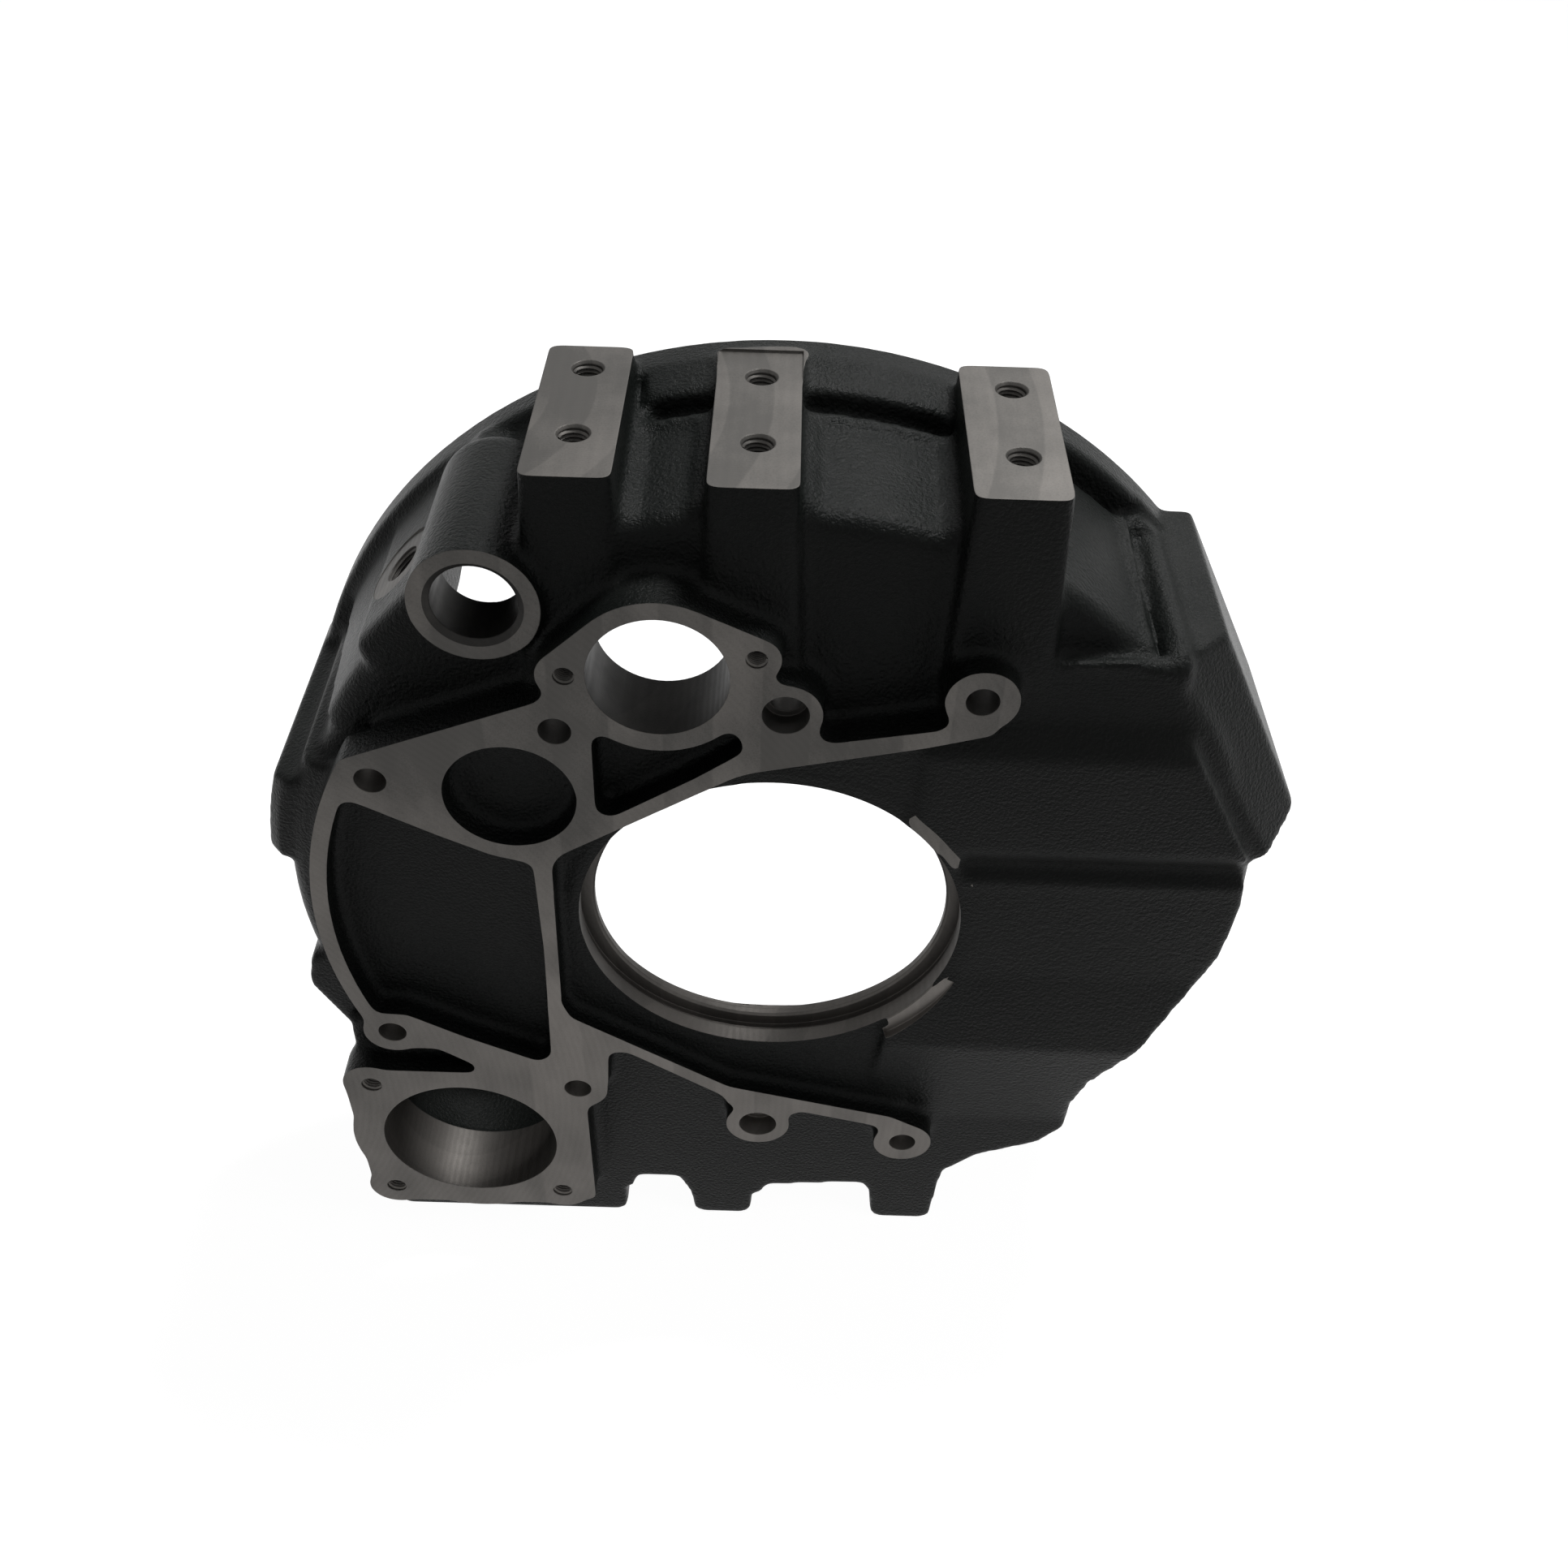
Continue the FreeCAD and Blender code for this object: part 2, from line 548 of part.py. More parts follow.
def housing():
    """The casting, then the machining."""
    face = raised(engine_face(), WALL_Y + 4.0)
    outside = joined([bell_solid()] + upper_rim()).cut(rim_grooves())
    raw = joined([outside, recess_wall(), right_body(), face] + shelf() + pads() + feet() + tube())
    raw = raw.cut(shelf_groove())
    lean = [
        (212, 46), (212.5, 0), (203.5, -28), (182, -78), (163, -111), (157.5, -135), (159, -157),
        (200, -170), (260, -160), (260, 20),
    ]
    raw = raw.cut(prism(lean, 0, 55))
    raw = raw.cut(bell_hollow())
    return raw.cut(pockets() + machining())


def main():
    part = housing()
    part.translate(V(0, -FLANGE_Y, 0))
    os.makedirs("parts", exist_ok=True)
    part.exportStep("parts/housing.step")
    print("solids", len(part.Solids), "volume", round(part.Volume / 1000.0, 1), "cm3", part.BoundBox)


main()
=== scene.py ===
import json
import math

import bpy
from mathutils import Matrix, Vector


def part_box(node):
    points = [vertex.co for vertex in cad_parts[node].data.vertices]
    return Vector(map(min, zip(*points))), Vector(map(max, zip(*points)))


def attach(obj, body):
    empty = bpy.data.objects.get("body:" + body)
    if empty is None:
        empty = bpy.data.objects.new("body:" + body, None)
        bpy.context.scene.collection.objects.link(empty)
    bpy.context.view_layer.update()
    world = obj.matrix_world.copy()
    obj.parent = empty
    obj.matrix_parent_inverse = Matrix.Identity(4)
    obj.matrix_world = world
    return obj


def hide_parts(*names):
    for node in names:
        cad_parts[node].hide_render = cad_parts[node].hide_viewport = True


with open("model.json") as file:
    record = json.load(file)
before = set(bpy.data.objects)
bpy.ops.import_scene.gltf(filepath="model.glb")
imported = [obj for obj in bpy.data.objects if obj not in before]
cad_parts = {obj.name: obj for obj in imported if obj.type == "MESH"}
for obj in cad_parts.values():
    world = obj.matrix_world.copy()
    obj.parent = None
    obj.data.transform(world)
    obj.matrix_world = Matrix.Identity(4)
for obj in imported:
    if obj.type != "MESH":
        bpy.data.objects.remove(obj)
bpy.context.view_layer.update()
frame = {"nodes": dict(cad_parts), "record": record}

bl_info = {
    "name": "Flywheel housing",
    "version": (1, 0, 0),
    "blender": (4, 5, 0),
    "location": "View3D > Sidebar > Housing",
    "description": "Casting, milling, threads and finish of a flywheel housing",
    "category": "Object",
}

# The frame, in metres: Y runs from the engine side to the rear, Z up.
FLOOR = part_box("housing")[0].z
MOUNTS = {m["name"]: m for m in frame["record"]["mounts"]}
FRONT = MOUNTS["engine_face"]["pos_m"][1]
REAR = MOUNTS["flange_face"]["pos_m"][1]
PAD_TOP = MOUNTS["pad_left"]["pos_m"][2]
RIM_TOP = 0.2257         # the pads are milled wider above the rim

# The photograph's camera, worked out from the flange, the bores and the feet.
IMAGE = 1932
FOCAL_PIXELS = 1945.14
SENSOR = 36.0
EYE = (0.002259, -0.606606, 0.533083)
CAMERA_RIGHT = (0.99953, 0.01815, 0.02461)
CAMERA_UP = (-0.03040, 0.67663, 0.73570)

THROUGH = ("engine_bolt_", "drive_bore", "starter_bore")
SPECIAL = ("crank_bore", "pilot_bore", "tube_bore", "drive_bore", "starter_bore")
THREAD_DEPTH = 0.0009    # of the wound threads, past the CAD hole's radius
CRANK_BACK = 0.030       # where the crank bore's wall ends in the bell
GROOVE_TOP = 200.0       # millimetres, above everything that a groove's cutter crosses
TUBE_WALL = 0.024        # the barring hole's wall; behind it the hole opens into the bell


class HousingSizes(bpy.types.PropertyGroup):
    """Sizes of the cast skin and of the cuts."""

    voxel: bpy.props.FloatProperty(
        name="Voxel", description="Grain of the cast skin's mesh", default=0.0017, unit="LENGTH",
    )
    rounding: bpy.props.IntProperty(
        name="Rounding", description="Smoothing passes that round the cast edges", default=9,
    )
    stock: bpy.props.FloatProperty(
        name="Stock", description="Iron left on for the mill before it is cut", default=0.004,
        unit="LENGTH",
    )
    triangles: bpy.props.IntProperty(
        name="Triangles", description="Triangles of the cast skin", default=150000,
    )
    crank_ring: bpy.props.FloatVectorProperty(
        name="Crank ring", description="Radii of the crank bore's facing, seal groove, lip and relief",
        default=(0.0906, 0.088, 0.081, 0.084), size=4, unit="LENGTH",
    )
    crank_steps: bpy.props.FloatVectorProperty(
        name="Crank steps", description="Depths of the facing, the groove's two sides and the lip",
        default=(0.0082, 0.0175, 0.022, 0.026), size=4, unit="LENGTH",
    )
    pitch: bpy.props.FloatProperty(
        name="Thread pitch", description="Pitch of the M12 threads in the pads", default=0.00175,
        unit="LENGTH",
    )


class HousingFinish(bpy.types.PropertyGroup):
    """Colours of the finishes."""

    paint: bpy.props.FloatVectorProperty(
        name="Paint", description="Satin black paint on the cast skin", size=3, subtype="COLOR",
        default=(0.0060, 0.0072, 0.0066), min=0.0, max=1.0,
    )
    paint_worn: bpy.props.FloatVectorProperty(
        name="Worn paint", description="Dusty paint where it is rubbed", size=3, subtype="COLOR",
        default=(0.018, 0.0190, 0.0180), min=0.0, max=1.0,
    )
    iron: bpy.props.FloatVectorProperty(
        name="Iron", description="Bare milled iron", size=3, subtype="COLOR",
        default=(0.175, 0.162, 0.150), min=0.0, max=1.0,
    )
    # Dull iron: the colour of stains on the milled iron and of its painted shade towards the top
    iron_dark: bpy.props.FloatVectorProperty(
        name="Dull iron", description="Milled iron in stains and in painted shade towards the top", size=3, subtype="COLOR",
        default=(0.062, 0.059, 0.055), min=0.0, max=1.0,
    )


class StageSettings(bpy.types.PropertyGroup):
    """Floor and light."""

    floor_size: bpy.props.FloatProperty(
        name="Floor", description="Side of the floor", default=12.0, unit="LENGTH",
    )
    key_power: bpy.props.FloatProperty(
        name="Key light", description="Power of the soft light above and behind", default=23.0,
        unit="POWER",
    )
    fill_power: bpy.props.FloatProperty(
        name="Fill light", description="Power of the soft light at the right", default=1.2,
        unit="POWER",
    )
    room: bpy.props.FloatProperty(
        name="Room", description="Strength of the light from all round", default=0.06,
    )


class Socket:
    """A node's output that Python sums can use; each sum adds a Math node."""

    def __init__(self, sheet, socket):
        self.sheet = sheet
        self.socket = socket

    def _math(self, operation, *values, clamp=False):
        return self.sheet.node(
            "ShaderNodeMath", {"operation": operation, "use_clamp": clamp}, dict(enumerate(values))
        )

    def __add__(self, other):
        return self._math("ADD", self, other)

    def __radd__(self, other):
        return self._math("ADD", other, self)

    def __sub__(self, other):
        return self._math("SUBTRACT", self, other)

    def __rsub__(self, other):
        return self._math("SUBTRACT", other, self)

    def __mul__(self, other):
        return self._math("MULTIPLY", self, other)

    def __rmul__(self, other):
        return self._math("MULTIPLY", other, self)

    def __truediv__(self, other):
        return self._math("DIVIDE", self, other)

    def __rtruediv__(self, other):
        return self._math("DIVIDE", other, self)

    def step(self, low, high):
        """0 below low, 1 above high, and a straight ramp between them."""
        return self.sheet.node(
            "ShaderNodeMapRange", {"clamp": True}, {0: self, 1: low, 2: high, 3: 0.0, 4: 1.0}
        )

    def highest(self, other):
        return self._math("MAXIMUM", self, other)


class Sheet:
    """The nodes of one material, or of the world."""

    def __init__(self, owner):
        self.owner = owner
        owner.use_nodes = True
        self.tree = owner.node_tree
        self.tree.nodes.clear()

    def node(self, kind, settings=None, inputs=None, output=0):
        """Adds a node: its type, its settings first, then values or links; gives one output."""
        made = self.tree.nodes.new(kind)
        for key, value in (settings or {}).items():
            setattr(made, key, value)
        for key, value in (inputs or {}).items():
            socket = made.inputs[key]
            if isinstance(value, Socket):
                self.tree.links.new(value.socket, socket)
            else:
                socket.default_value = value
        if not made.outputs:
            return None
        return Socket(self, made.outputs[output])

    def place(self, scale=(1.0, 1.0, 1.0), turn=(0.0, 0.0, 0.0), shift=(0.0, 0.0, 0.0)):
        """The piece's own coordinates, in metres, shifted, turned and stretched."""
        coords = self.node("ShaderNodeTexCoord", {}, {}, "Object")
        return self.node(
            "ShaderNodeMapping", {},
            {"Vector": coords, "Location": shift, "Rotation": turn, "Scale": scale},
        )

    def noise(self, vector, scale, detail=2.0, roughness=0.5):
        return self.node(
            "ShaderNodeTexNoise", {},
            {"Vector": vector, "Scale": scale, "Detail": detail, "Roughness": roughness},
        )

    def mix(self, factor, a, b):
        """Colour a where the factor is 0 and b where it is 1."""
        return self.node(
            "ShaderNodeMix", {"data_type": "RGBA"}, {"Factor": factor, "A": a, "B": b}, "Result"
        )

    def finish(self, **inputs):
        """Ends the sheet with one Principled shader."""
        names = {
            "colour": "Base Color", "specular": "Specular IOR Level", "roughness": "Roughness",
            "metallic": "Metallic", "normal": "Normal",
        }
        shader = self.node("ShaderNodeBsdfPrincipled", {}, {names[k]: v for k, v in inputs.items()})
        self.node("ShaderNodeOutputMaterial", {}, {"Surface": shader})
        return self.owner

    def seen_directly(self):
        """1 for camera, glossy and clear rays, which see the white background; 0 for the rest."""
        camera = self.node("ShaderNodeLightPath", {}, {}, "Is Camera Ray")
        gloss = self.node("ShaderNodeLightPath", {}, {}, "Is Glossy Ray")
        clear = self.node("ShaderNodeLightPath", {}, {}, "Is Transmission Ray")
        return camera.highest(gloss).highest(clear)


def rgba(colour):
    """A colour property as the four numbers that a socket takes."""
    return (colour[0], colour[1], colour[2], 1.0)


def satin_black(finish):
    """Black paint over the sand-cast skin: fine pebbles, dusty high spots, a little oil."""
    sheet = Sheet(bpy.data.materials.new("satin_black"))
    here = sheet.place()
    broad = sheet.noise(here, 22.0, 3.0)
    pebbles = sheet.noise(here, 620.0, 3.0, 0.55)
    sand = sheet.noise(here, 1700.0, 2.0, 0.6)
    dust = broad.step(0.42, 0.70) * 0.55 + pebbles.step(0.55, 0.75) * 0.30
    colour = sheet.mix(dust, rgba(finish.paint), rgba(finish.paint_worn))
    roughness = 0.22 + broad * 0.10 + pebbles * 0.10
    height = pebbles * 0.75 + sand * 0.25
    bump = sheet.node("ShaderNodeBump", {}, {"Strength": 1.0, "Distance": 0.0010, "Height": height})
    return sheet.finish(colour=colour, roughness=roughness, specular=0.07, normal=bump)


def milled_iron(finish, name="milled_iron", shade=1.0):
    """Bare iron left by the mill and the boring bar: faint arcs, rings and stains, with painted shade
    that darkens it towards the top; shade scales its colours for lighter and darker copies.
    """
    sheet = Sheet(bpy.data.materials.new(name))
    here = sheet.place()
    broad = sheet.noise(here, 14.0, 4.0, 0.55)
    stains = sheet.noise(sheet.place(scale=(1.0, 1.0, 0.4)), 60.0, 5.0, 0.6)
    passes = sheet.node(
        "ShaderNodeTexWave", {"wave_type": "RINGS", "rings_direction": "Y"},
        {
            "Vector": sheet.place(shift=(0.34, 0.0, 0.12)), "Scale": 95.0, "Distortion": 1.5,
            "Detail": 2.0, "Detail Scale": 2.0,
        },
        "Fac",
    )
    turning = sheet.node(
        "ShaderNodeTexWave", {"wave_type": "BANDS", "bands_direction": "Y"},
        {"Vector": here, "Scale": 320.0, "Distortion": 0.6, "Detail": 1.0}, "Fac",
    )
    grain = sheet.noise(here, 1100.0, 2.0, 0.6)
    tone = broad.step(0.38, 0.66) * 0.50 + stains.step(0.40, 0.75) * 0.30
    tone = tone + grain.step(0.45, 0.70) * 0.20
    arcs = sheet.node(
        "ShaderNodeTexWave", {"wave_type": "RINGS", "rings_direction": "Z"},
        {"Vector": sheet.place(shift=(0.17, 0.05, 0.0)), "Scale": 9.0, "Distortion": 0.2}, "Fac",
    )
    # painted shade: the higher the iron stands, the more it is mixed towards the dull colour
    height_up = sheet.node("ShaderNodeSeparateXYZ", {}, {"Vector": here}, "Z")
    shade_towards_top = (height_up + broad * 0.08).step(0.0, 0.17)
    tone = tone * 0.65 + arcs.step(0.46, 0.54) * 0.18 + shade_towards_top * 0.55
    bright = [value * shade for value in finish.iron]
    dull = [value * shade for value in finish.iron_dark]
    colour = sheet.mix(tone, rgba(bright), rgba(dull))
    roughness = 0.40 + stains * 0.16 + passes * 0.05
    height = passes * 0.20 + turning * 0.12 + stains * 0.4 + grain * 0.5
    edge = sheet.node("ShaderNodeBevel", {"samples": 4}, {"Radius": 0.0007})
    bump = sheet.node(
        "ShaderNodeBump", {}, {"Strength": 0.15, "Distance": 0.0003, "Height": height, "Normal": edge}
    )
    return sheet.finish(colour=colour, roughness=roughness, metallic=0.75, normal=bump)


def backdrop_white():
    """Pale floor that the camera and gloss see as white, with the housing's shadow."""
    sheet = Sheet(bpy.data.materials.new("backdrop_white"))
    floor = sheet.node("ShaderNodeBsdfDiffuse", {}, {"Color": (0.32, 0.32, 0.32, 1.0)})
    glow = sheet.node("ShaderNodeEmission", {}, {"Color": (1.0, 1.0, 1.0, 1.0), "Strength": 0.97})
    seen = sheet.node("ShaderNodeAddShader", {}, {0: floor, 1: glow})
    shader = sheet.node("ShaderNodeMixShader", {}, {0: sheet.seen_directly(), 1: floor, 2: seen})
    sheet.node("ShaderNodeOutputMaterial", {}, {"Surface": shader})
    return sheet.owner


def only(*objects):
    """Selects these objects and nothing else; the first is the active one."""
    bpy.ops.object.select_all(action="DESELECT")
    for piece in objects:
        piece.select_set(True)
    bpy.context.view_layer.objects.active = objects[0]


def apply_place(piece):
    """Moves an object's place, turn and size into its mesh."""
    only(piece)
    bpy.ops.object.transform_apply(location=True, rotation=True, scale=True)


def bake_modifier(piece, kind, **settings):
    """Adds a modifier, sets it and applies it."""
    only(piece)
    modifier = piece.modifiers.new(kind.lower(), kind)
    for key, value in settings.items():
        setattr(modifier, key, value)
    bpy.ops.object.modifier_apply(modifier=modifier.name)


def pick_faces(piece, test):
    """Selects the faces of an object in edit mode that pass a test; leaves edit mode on."""
    only(piece)
    bpy.ops.object.mode_set(mode="EDIT")
    bpy.ops.mesh.select_mode(type="FACE")
    bpy.ops.mesh.select_all(action="DESELECT")
    bpy.ops.object.mode_set(mode="OBJECT")
    for face in piece.data.polygons:
        face.select = test(face)
    bpy.ops.object.mode_set(mode="EDIT")


def pick_points(piece, test):
    """Selects the points of an object that pass a test; leaves edit mode on."""
    only(piece)
    bpy.ops.object.mode_set(mode="EDIT")
    bpy.ops.mesh.select_mode(type="VERT")
    bpy.ops.mesh.select_all(action="DESELECT")
    bpy.ops.object.mode_set(mode="OBJECT")
    for point in piece.data.vertices:
        point.select = test(point.co)
    bpy.ops.object.mode_set(mode="EDIT")


def extrude_faces(piece, test, move):
    """Pulls the faces that pass a test out along a vector."""
    pick_faces(piece, test)
    bpy.ops.mesh.extrude_region_move(TRANSFORM_OT_translate={"value": move})
    bpy.ops.object.mode_set(mode="OBJECT")


def round_bar(name, centre, axis, radius, low, high, sides=96):
    """A bar along an axis, from low to high, measured from its centre point."""
    axis = Vector(axis).normalized()
    middle = Vector(centre) + axis * (low + high) / 2.0
    turn = axis.to_track_quat("Z", "Y").to_euler()
    bpy.ops.object.select_all(action="DESELECT")
    bpy.ops.mesh.primitive_cylinder_add(
        vertices=sides, radius=radius, depth=high - low, location=middle, rotation=turn,
    )
    bar = bpy.context.object
    bar.name = name
    apply_place(bar)
    return bar


def block(name, low, high):
    """A box between two corners."""
    low, high = Vector(low), Vector(high)
    bpy.ops.object.select_all(action="DESELECT")
    bpy.ops.mesh.primitive_cube_add(size=1.0, location=(low + high) / 2.0)
    box = bpy.context.object
    box.name = name
    box.scale = high - low
    apply_place(box)
    return box


def joined(name, pieces):
    """One object from several."""
    only(*pieces)
    if len(pieces) > 1:
        bpy.ops.object.join()
    piece = bpy.context.object
    piece.name = name
    return piece


def cut(piece, cutter, material):
    """Takes a cutter away from a piece; the new faces get the cutter's material."""
    cutter.data.materials.clear()
    if material:
        cutter.data.materials.append(material)
    bake_modifier(
        piece, "BOOLEAN", operation="DIFFERENCE", object=cutter, solver="EXACT",
        material_mode="TRANSFER",
    )
    bpy.data.objects.remove(cutter)


def cast_skin(sizes):
    """The raw casting: the CAD solid with stock left on its flats, its edges rounded."""
    node = frame["nodes"]["housing"]
    only(node)
    bpy.ops.object.duplicate()
    skin = bpy.context.object
    for key in [k for k in skin.keys() if k.startswith("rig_")]:
        del skin[key]
    skin.parent = None
    skin.name = "casting"
    only(skin)
    bpy.ops.object.mode_set(mode="EDIT")
    bpy.ops.mesh.select_all(action="SELECT")
    bpy.ops.mesh.remove_doubles(threshold=1e-6)
    bpy.ops.object.mode_set(mode="OBJECT")
    stock = sizes.stock
    near = 1e-5
    extrude_faces(skin, lambda f: abs(f.center.y - FRONT) < near and f.normal.y < -0.9, (0, -stock, 0))
    extrude_faces(skin, lambda f: abs(f.center.y - REAR) < near and f.normal.y > 0.9, (0, stock, 0))
    extrude_faces(skin, lambda f: abs(f.center.z - PAD_TOP) < near and f.normal.z > 0.9, (0, 0, stock))
    tube = MOUNTS["tube_bore"]
    face = tube["pos_m"][1] - tube["dims"]["length_mm"] / 2000.0
    extrude_faces(skin, lambda f: near_tube_end(f, face), (0, -stock, 0))
    skin = joined("casting", [skin, bell_wall()] + plugs(sizes) + shoulder_ribs())
    bake_modifier(skin, "REMESH", mode="VOXEL", voxel_size=sizes.voxel)
    for groove in shoulder_grooves() + ring_trims():
        cut(skin, groove, None)
    bake_modifier(skin, "REMESH", mode="VOXEL", voxel_size=sizes.voxel)
    bake_modifier(skin, "SMOOTH", factor=0.5, iterations=sizes.rounding)
    skin.data.update()
    count = sum(len(f.vertices) - 2 for f in skin.data.polygons)
    if count > sizes.triangles:
        bake_modifier(skin, "DECIMATE", ratio=sizes.triangles / count)
    skin.data.materials.clear()
    return skin


def bell_wall():
    """The bell's own wall on the right, behind the stepped half, where the CAD solid is thin."""
    profile = [
        (0.1915, 0.017), (0.1964, 0.017), (0.1964, 0.053), (0.2010, 0.057), (0.2010, 0.064),
        (0.1990, 0.064), (0.1915, 0.054), (0.1915, 0.017),
    ]
    wall = turned_bar("bell_wall", profile, (0.0, FRONT, 0.0), 128)
    trim(wall, (0.135, 0.0, 0.0), (1, 0, 0), outer=False)
    return wall


def trim(piece, point, normal, outer):
    """Cuts off what lies before (outer) or behind a plane and closes the cut."""
    only(piece)
    bpy.ops.object.mode_set(mode="EDIT")
    bpy.ops.mesh.select_all(action="SELECT")
    bpy.ops.mesh.bisect(
        plane_co=point, plane_no=normal, use_fill=True, clear_outer=outer, clear_inner=not outer,
    )
    bpy.ops.object.mode_set(mode="OBJECT")


def sector(start, stop, radius, low, high):
    """A slice of a disc about the crank axis, between two angles in degrees."""
    piece = round_bar("sector", (0.0, FRONT, 0.0), (0, 1, 0), radius, low, high, 128)
    for angle, outer in ((start, False), (stop, True)):
        turn = math.radians(angle)
        trim(piece, (0.0, 0.0, 0.0), (-math.sin(turn), 0.0, math.cos(turn)), outer)
    return piece


def ring_trims():
    """Cutters that lower the crank bore's cast rim everywhere but at its two lugs."""
    places = ((50.0, 100.0, 0.0095), (-22.0, 25.0, 0.0085), (-172.0, -48.0, 0.0095))
    return [sector(start, stop, 0.0920, 0.0060, depth) for start, stop, depth in places]


def lug_facings(sizes):
    """The facing bar's path over the two lugs of the crank bore's rim."""
    face = sizes.crank_steps[0]
    return [sector(start, stop, 0.0942, -0.001, face) for start, stop in ((17.0, 50.0), (-52.0, -22.0))]


def plugs(sizes):
    """Plugs for every bore that is drilled, and for the ring round the crank bore."""
    radius = sizes.crank_ring[0]
    made = [round_bar("plug", (0.0, FRONT, 0.0), (0, 1, 0), radius, 0.0095, CRANK_BACK, 128)]
    for name, mount in MOUNTS.items():
        if mount["kind"] in ("bore", "threaded_hole") and name not in ("crank_bore", "pilot_bore"):
            made.append(plug(name))
    return made


def at(x, y, z):
    """A point in metres from millimetres, with y counted from the engine face."""
    return Vector((x / 1000.0, FRONT + y / 1000.0, z / 1000.0))


def rib(start, stop, radius):
    """A round rib between two points, with round ends."""
    start, stop = at(*start), at(*stop)
    axis = stop - start
    radius = radius / 1000.0
    parts = [round_bar("rib", start, axis, radius, 0.0, axis.length, 32)]
    for end in (start, stop):
        bpy.ops.object.select_all(action="DESELECT")
        bpy.ops.mesh.primitive_uv_sphere_add(segments=32, ring_count=16, radius=radius, location=end)
        apply_place(bpy.context.object)
        parts.append(bpy.context.object)
    return joined("rib", parts)


def shoulder_ribs():
    """The cast shoulder on the right: its rib, its nose and the border of the panel."""
    return [
        rib((161.0, 24.0, 148.0), (160.0, 106.0, 149.5), 5.0),
        rib((160.5, 20.5, 139.0), (160.5, 21.0, 145.0), 6.5),
        rib((147.6, 25.0, 151.0), (146.0, 102.0, 161.0), 2.6),
        rib((118.0, 14.6, 150.0), (143.0, 15.5, 150.0), 2.4),
        rib((155.0, 107.0, 153.0), (168.0, 107.0, 141.5), 5.5),
    ]


def shoulder_grooves():
    """Grooves on both sides of the shoulder's rib."""
    return [
        bent_slab(150.8, 154.6, [(22.0, 145.0), (104.0, 152.0)]),
        bent_slab(166.3, 168.6, [(24.0, 144.5), (112.0, 145.5)]),
    ]


def bent_slab(x0, x1, floor):
    """A slab between two values of x that stands on a sloping floor of (y, z) points."""
    (y0, z0), (y1, z1) = floor
    slab = block("groove", at(x0, y0, z0), at(x1, y1, GROOVE_TOP))
    middle = at(0, (y0 + y1) / 2.0, (z0 + GROOVE_TOP) / 2.0)
    pick_points(slab, lambda p: p.z < middle.z and p.y > middle.y)
    bpy.ops.transform.translate(value=(0.0, 0.0, (z1 - z0) / 1000.0))
    bpy.ops.object.mode_set(mode="OBJECT")
    return slab


def near_tube_end(face, edge):
    """True for the flat front end of the barring tube."""
    x, _, z = MOUNTS["tube_bore"]["pos_m"]
    off = math.hypot(face.center.x - x, face.center.z - z)
    return face.normal.y < -0.9 and off < 0.027 and abs(face.center.y - edge) < 0.004


def pad_spans():
    """Corners of the milled pads, read from the CAD node's flats at the pads' height."""
    spans = {}
    mesh = frame["nodes"]["housing"].data
    names = ("pad_left", "pad_centre", "pad_right")
    for face in mesh.polygons:
        if abs(face.center.z - PAD_TOP) < 1e-5 and face.normal.z > 0.9:
            name = min(names, key=lambda n: abs(MOUNTS[n]["pos_m"][0] - face.center.x))
            for i in face.vertices:
                p = mesh.vertices[i].co
                low, high = spans.get(name, (p.copy(), p.copy()))
                low = Vector(map(min, low, p))
                high = Vector(map(max, high, p))
                spans[name] = (low, high)
    return list(spans.values())


def mill_flats(piece, sizes, iron, pad_iron):
    """Mills the engine face, the flange face and the pads."""
    reach = 0.3
    stock = sizes.stock * 2.0
    tops, pads = [], []
    flats = [
        block("front_mill", (-reach, FRONT - stock, -reach), (reach, FRONT, reach)),
        block("rear_mill", (-reach, REAR, -reach), (reach, REAR + stock, reach)),
    ]
    for low, high in pad_spans():
        margin = Vector((0.0003, 0.0003, 0.0))
        stop = high + margin + Vector((0.0, 0.0, stock))
        pads.append(block("pad_mill", low - margin, stop))
        wide = Vector((0.004, 0.004, 0.0))
        above = Vector((0.0, 0.0, RIM_TOP - PAD_TOP))
        tops.append(block("pad_mill", low - wide + above, stop + wide))
    cut(piece, joined("tops", tops), pad_iron)
    cut(piece, joined("pads", pads), pad_iron)
    cut(piece, joined("flats", flats), iron)


def bore(name, sizes, deeper=0.0):
    """A bar that cuts one bore of the record, from past its mouth to its far end."""
    mount = MOUNTS[name]
    half = mount["dims"]["length_mm"] / 2000.0
    far = -half - deeper
    radius = mount["dims"]["r_mm"] / 1000.0
    if mount["kind"] == "threaded_hole":
        radius += THREAD_DEPTH
    sides = 128 if radius > 0.03 else 64
    return round_bar(name, mount["pos_m"], mount["axis"], radius, far, half + sizes.stock, sides)


def plug(name):
    """Iron that fills a bore of the raw casting, so that the drill leaves a clean edge."""
    mount = MOUNTS[name]
    half = mount["dims"]["length_mm"] / 2000.0
    radius = mount["dims"]["r_mm"] / 1000.0
    near = half
    if name == "tube_bore":
        near = half - TUBE_WALL
        return round_bar("plug", mount["pos_m"], mount["axis"], radius + 0.003, near, half, 48)
    return round_bar("plug", mount["pos_m"], mount["axis"], radius + 0.0008, -near, half, 48)


def crank_bar(sizes):
    """The boring bar's path through the crank bore: chamfer, bore, seal groove and lip."""
    facing, groove, lip, relief = sizes.crank_ring
    face, start, step, back = sizes.crank_steps
    radius = MOUNTS["crank_bore"]["dims"]["r_mm"] / 1000.0
    past = CRANK_BACK + 0.002
    profile = [
        (0.0, 0.0), (facing, 0.0), (facing, face), (radius + 0.0006, face), (radius, face + 0.0006),
        (radius, start), (groove, start + 0.001), (groove, step), (lip + 0.001, step),
        (lip, step + 0.001), (lip, back), (relief, back), (relief, past), (0.0, past),
    ]
    return turned_bar("crank_bar", profile, (0.0, FRONT, 0.0), 160)


